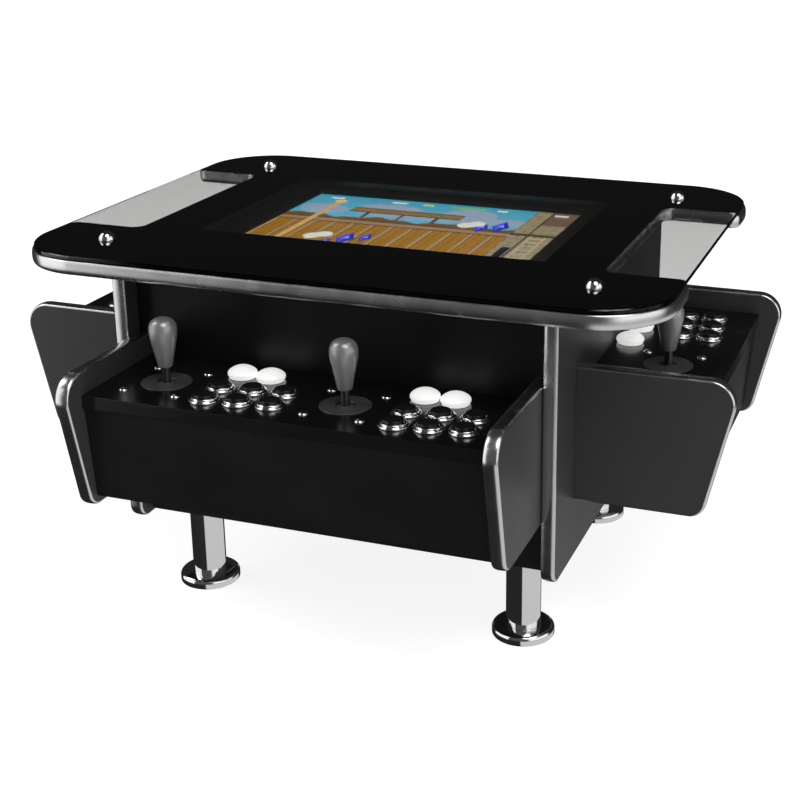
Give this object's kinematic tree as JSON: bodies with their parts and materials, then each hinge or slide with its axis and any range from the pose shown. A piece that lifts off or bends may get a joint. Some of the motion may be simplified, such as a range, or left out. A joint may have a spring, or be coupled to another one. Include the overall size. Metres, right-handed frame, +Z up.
{
  "type": "cocktail table arcade cabinet",
  "caption": "Low cocktail table amusement cabinet: glass tabletop with notched ends over a flat screen, control boxes with joysticks and push buttons on three sides, tube legs.",
  "frame": {"origin": "on the floor, under the middle of the whole outline (front control box included)", "axes": "+X along the long side to the right of the front players, +Y from the front players to the back, +Z up"},
  "size_m": [1.026, 0.8005, 0.5275],
  "materials": {
    "glass": "clear polished",
    "chrome": "polished",
    "black_gloss": "black gloss laminate on board",
    "grey_laminate": "dark grey satin laminate on board",
    "display": "lit picture in a black case",
    "bezel": "satin",
    "grey_bat": "satin moulded",
    "dust_plate": "satin",
    "black_button": "gloss",
    "white_dome": "gloss translucent",
    "steel": "zinc plated",
    "circuit_board": "solder resist"
  },
  "bodies": {
    "cabinet": {"glass_top": "glass", "glass_caps": "chrome", "tabletop_board": "black_gloss", "tabletop_trim": "chrome", "monitor": "display", "monitor_bezel": "bezel", "end_panels": "grey_laminate", "panel_trims": "chrome", "carcass_boards": "black_gloss", "leg_tubes": "chrome", "leg_feet": "chrome", "cheeks": "grey_laminate", "control_lids": "black_gloss", "box_boards": "black_gloss", "game_board": "circuit_board", "power_unit": "steel", "dust_plates": "dust_plate", "joystick_mounts": "steel", "carriage_bolts": "chrome", "button_housings": "chrome"},
    "gimbal_1": {"gimbal_1": "steel"},
    "stick_1": {"stick_1": "grey_bat"},
    "button_1_1": {"button_1_1": "black_button"},
    "button_1_2": {"button_1_2": "black_button"},
    "button_1_3": {"button_1_3": "black_button"},
    "button_1_4": {"button_1_4": "black_button"},
    "button_1_5": {"button_1_5": "black_button"},
    "button_1_6": {"button_1_6": "black_button"},
    "dome_button_1_1": {"dome_button_1_1": "white_dome"},
    "dome_button_1_2": {"dome_button_1_2": "white_dome"},
    "gimbal_2": {"gimbal_2": "steel"},
    "stick_2": {"stick_2": "grey_bat"},
    "button_2_1": {"button_2_1": "black_button"},
    "button_2_2": {"button_2_2": "black_button"},
    "button_2_3": {"button_2_3": "black_button"},
    "button_2_4": {"button_2_4": "black_button"},
    "button_2_5": {"button_2_5": "black_button"},
    "button_2_6": {"button_2_6": "black_button"},
    "dome_button_2_1": {"dome_button_2_1": "white_dome"},
    "dome_button_2_2": {"dome_button_2_2": "white_dome"},
    "gimbal_3": {"gimbal_3": "steel"},
    "stick_3": {"stick_3": "grey_bat"},
    "button_3_1": {"button_3_1": "black_button"},
    "button_3_2": {"button_3_2": "black_button"},
    "button_3_3": {"button_3_3": "black_button"},
    "button_3_4": {"button_3_4": "black_button"},
    "button_3_5": {"button_3_5": "black_button"},
    "button_3_6": {"button_3_6": "black_button"},
    "dome_button_3_1": {"dome_button_3_1": "white_dome"},
    "dome_button_3_2": {"dome_button_3_2": "white_dome"},
    "gimbal_4": {"gimbal_4": "steel"},
    "stick_4": {"stick_4": "grey_bat"},
    "button_4_1": {"button_4_1": "black_button"},
    "button_4_2": {"button_4_2": "black_button"},
    "button_4_3": {"button_4_3": "black_button"},
    "button_4_4": {"button_4_4": "black_button"},
    "button_4_5": {"button_4_5": "black_button"},
    "button_4_6": {"button_4_6": "black_button"},
    "dome_button_4_1": {"dome_button_4_1": "white_dome"},
    "dome_button_4_2": {"dome_button_4_2": "white_dome"}
  },
  "joints": [
    {"name": "stick_1_away_towards", "type": "hinge", "parent": "cabinet", "child": "gimbal_1", "pos_m": [-0.1955, -0.29119, 0.342], "axis": [1, 0, 0], "range_deg": [-9, 9], "stiffness_Nm_per_rad": 1.2},
    {"name": "stick_1_left_right", "type": "hinge", "parent": "gimbal_1", "child": "stick_1", "pos_m": [-0.1955, -0.29119, 0.342], "axis": [0, 1, 0], "range_deg": [-9, 9], "stiffness_Nm_per_rad": 1.2},
    {"name": "button_1_1_press", "type": "slide", "parent": "cabinet", "child": "button_1_1", "axis": [0, 0, -1], "range_m": [0, 0.0028], "stiffness_N_per_m": 400, "springref_m": -0.003},
    {"name": "button_1_2_press", "type": "slide", "parent": "cabinet", "child": "button_1_2", "axis": [0, 0, -1], "range_m": [0, 0.0028], "stiffness_N_per_m": 400, "springref_m": -0.003},
    {"name": "button_1_3_press", "type": "slide", "parent": "cabinet", "child": "button_1_3", "axis": [0, 0, -1], "range_m": [0, 0.0028], "stiffness_N_per_m": 400, "springref_m": -0.003},
    {"name": "button_1_4_press", "type": "slide", "parent": "cabinet", "child": "button_1_4", "axis": [0, 0, -1], "range_m": [0, 0.0028], "stiffness_N_per_m": 400, "springref_m": -0.003},
    {"name": "button_1_5_press", "type": "slide", "parent": "cabinet", "child": "button_1_5", "axis": [0, 0, -1], "range_m": [0, 0.0028], "stiffness_N_per_m": 400, "springref_m": -0.003},
    {"name": "button_1_6_press", "type": "slide", "parent": "cabinet", "child": "button_1_6", "axis": [0, 0, -1], "range_m": [0, 0.0028], "stiffness_N_per_m": 400, "springref_m": -0.003},
    {"name": "dome_button_1_1_press", "type": "slide", "parent": "cabinet", "child": "dome_button_1_1", "axis": [0, 0, -1], "range_m": [0, 0.0028], "stiffness_N_per_m": 400, "springref_m": -0.003},
    {"name": "dome_button_1_2_press", "type": "slide", "parent": "cabinet", "child": "dome_button_1_2", "axis": [0, 0, -1], "range_m": [0, 0.0028], "stiffness_N_per_m": 400, "springref_m": -0.003},
    {"name": "stick_2_away_towards", "type": "hinge", "parent": "cabinet", "child": "gimbal_2", "pos_m": [0.0561, -0.29119, 0.342], "axis": [1, 0, 0], "range_deg": [-9, 9], "stiffness_Nm_per_rad": 1.2},
    {"name": "stick_2_left_right", "type": "hinge", "parent": "gimbal_2", "child": "stick_2", "pos_m": [0.0561, -0.29119, 0.342], "axis": [0, 1, 0], "range_deg": [-9, 9], "stiffness_Nm_per_rad": 1.2},
    {"name": "button_2_1_press", "type": "slide", "parent": "cabinet", "child": "button_2_1", "axis": [0, 0, -1], "range_m": [0, 0.0028], "stiffness_N_per_m": 400, "springref_m": -0.003},
    {"name": "button_2_2_press", "type": "slide", "parent": "cabinet", "child": "button_2_2", "axis": [0, 0, -1], "range_m": [0, 0.0028], "stiffness_N_per_m": 400, "springref_m": -0.003},
    {"name": "button_2_3_press", "type": "slide", "parent": "cabinet", "child": "button_2_3", "axis": [0, 0, -1], "range_m": [0, 0.0028], "stiffness_N_per_m": 400, "springref_m": -0.003},
    {"name": "button_2_4_press", "type": "slide", "parent": "cabinet", "child": "button_2_4", "axis": [0, 0, -1], "range_m": [0, 0.0028], "stiffness_N_per_m": 400, "springref_m": -0.003},
    {"name": "button_2_5_press", "type": "slide", "parent": "cabinet", "child": "button_2_5", "axis": [0, 0, -1], "range_m": [0, 0.0028], "stiffness_N_per_m": 400, "springref_m": -0.003},
    {"name": "button_2_6_press", "type": "slide", "parent": "cabinet", "child": "button_2_6", "axis": [0, 0, -1], "range_m": [0, 0.0028], "stiffness_N_per_m": 400, "springref_m": -0.003},
    {"name": "dome_button_2_1_press", "type": "slide", "parent": "cabinet", "child": "dome_button_2_1", "axis": [0, 0, -1], "range_m": [0, 0.0028], "stiffness_N_per_m": 400, "springref_m": -0.003},
    {"name": "dome_button_2_2_press", "type": "slide", "parent": "cabinet", "child": "dome_button_2_2", "axis": [0, 0, -1], "range_m": [0, 0.0028], "stiffness_N_per_m": 400, "springref_m": -0.003},
    {"name": "stick_3_away_towards", "type": "hinge", "parent": "cabinet", "child": "gimbal_3", "pos_m": [0.402, -0.01619, 0.342], "axis": [0, 1, 0], "range_deg": [-9, 9], "stiffness_Nm_per_rad": 1.2},
    {"name": "stick_3_left_right", "type": "hinge", "parent": "gimbal_3", "child": "stick_3", "pos_m": [0.402, -0.01619, 0.342], "axis": [-1, 0, 0], "range_deg": [-9, 9], "stiffness_Nm_per_rad": 1.2},
    {"name": "button_3_1_press", "type": "slide", "parent": "cabinet", "child": "button_3_1", "axis": [0, 0, -1], "range_m": [0, 0.0028], "stiffness_N_per_m": 400, "springref_m": -0.003},
    {"name": "button_3_2_press", "type": "slide", "parent": "cabinet", "child": "button_3_2", "axis": [0, 0, -1], "range_m": [0, 0.0028], "stiffness_N_per_m": 400, "springref_m": -0.003},
    {"name": "button_3_3_press", "type": "slide", "parent": "cabinet", "child": "button_3_3", "axis": [0, 0, -1], "range_m": [0, 0.0028], "stiffness_N_per_m": 400, "springref_m": -0.003},
    {"name": "button_3_4_press", "type": "slide", "parent": "cabinet", "child": "button_3_4", "axis": [0, 0, -1], "range_m": [0, 0.0028], "stiffness_N_per_m": 400, "springref_m": -0.003},
    {"name": "button_3_5_press", "type": "slide", "parent": "cabinet", "child": "button_3_5", "axis": [0, 0, -1], "range_m": [0, 0.0028], "stiffness_N_per_m": 400, "springref_m": -0.003},
    {"name": "button_3_6_press", "type": "slide", "parent": "cabinet", "child": "button_3_6", "axis": [0, 0, -1], "range_m": [0, 0.0028], "stiffness_N_per_m": 400, "springref_m": -0.003},
    {"name": "dome_button_3_1_press", "type": "slide", "parent": "cabinet", "child": "dome_button_3_1", "axis": [0, 0, -1], "range_m": [0, 0.0028], "stiffness_N_per_m": 400, "springref_m": -0.003},
    {"name": "dome_button_3_2_press", "type": "slide", "parent": "cabinet", "child": "dome_button_3_2", "axis": [0, 0, -1], "range_m": [0, 0.0028], "stiffness_N_per_m": 400, "springref_m": -0.003},
    {"name": "stick_4_away_towards", "type": "hinge", "parent": "cabinet", "child": "gimbal_4", "pos_m": [-0.402, 0.13981, 0.342], "axis": [0, -1, 0], "range_deg": [-9, 9], "stiffness_Nm_per_rad": 1.2},
    {"name": "stick_4_left_right", "type": "hinge", "parent": "gimbal_4", "child": "stick_4", "pos_m": [-0.402, 0.13981, 0.342], "axis": [1, 0, 0], "range_deg": [-9, 9], "stiffness_Nm_per_rad": 1.2},
    {"name": "button_4_1_press", "type": "slide", "parent": "cabinet", "child": "button_4_1", "axis": [0, 0, -1], "range_m": [0, 0.0028], "stiffness_N_per_m": 400, "springref_m": -0.003},
    {"name": "button_4_2_press", "type": "slide", "parent": "cabinet", "child": "button_4_2", "axis": [0, 0, -1], "range_m": [0, 0.0028], "stiffness_N_per_m": 400, "springref_m": -0.003},
    {"name": "button_4_3_press", "type": "slide", "parent": "cabinet", "child": "button_4_3", "axis": [0, 0, -1], "range_m": [0, 0.0028], "stiffness_N_per_m": 400, "springref_m": -0.003},
    {"name": "button_4_4_press", "type": "slide", "parent": "cabinet", "child": "button_4_4", "axis": [0, 0, -1], "range_m": [0, 0.0028], "stiffness_N_per_m": 400, "springref_m": -0.003},
    {"name": "button_4_5_press", "type": "slide", "parent": "cabinet", "child": "button_4_5", "axis": [0, 0, -1], "range_m": [0, 0.0028], "stiffness_N_per_m": 400, "springref_m": -0.003},
    {"name": "button_4_6_press", "type": "slide", "parent": "cabinet", "child": "button_4_6", "axis": [0, 0, -1], "range_m": [0, 0.0028], "stiffness_N_per_m": 400, "springref_m": -0.003},
    {"name": "dome_button_4_1_press", "type": "slide", "parent": "cabinet", "child": "dome_button_4_1", "axis": [0, 0, -1], "range_m": [0, 0.0028], "stiffness_N_per_m": 400, "springref_m": -0.003},
    {"name": "dome_button_4_2_press", "type": "slide", "parent": "cabinet", "child": "dome_button_4_2", "axis": [0, 0, -1], "range_m": [0, 0.0028], "stiffness_N_per_m": 400, "springref_m": -0.003}
  ]
}
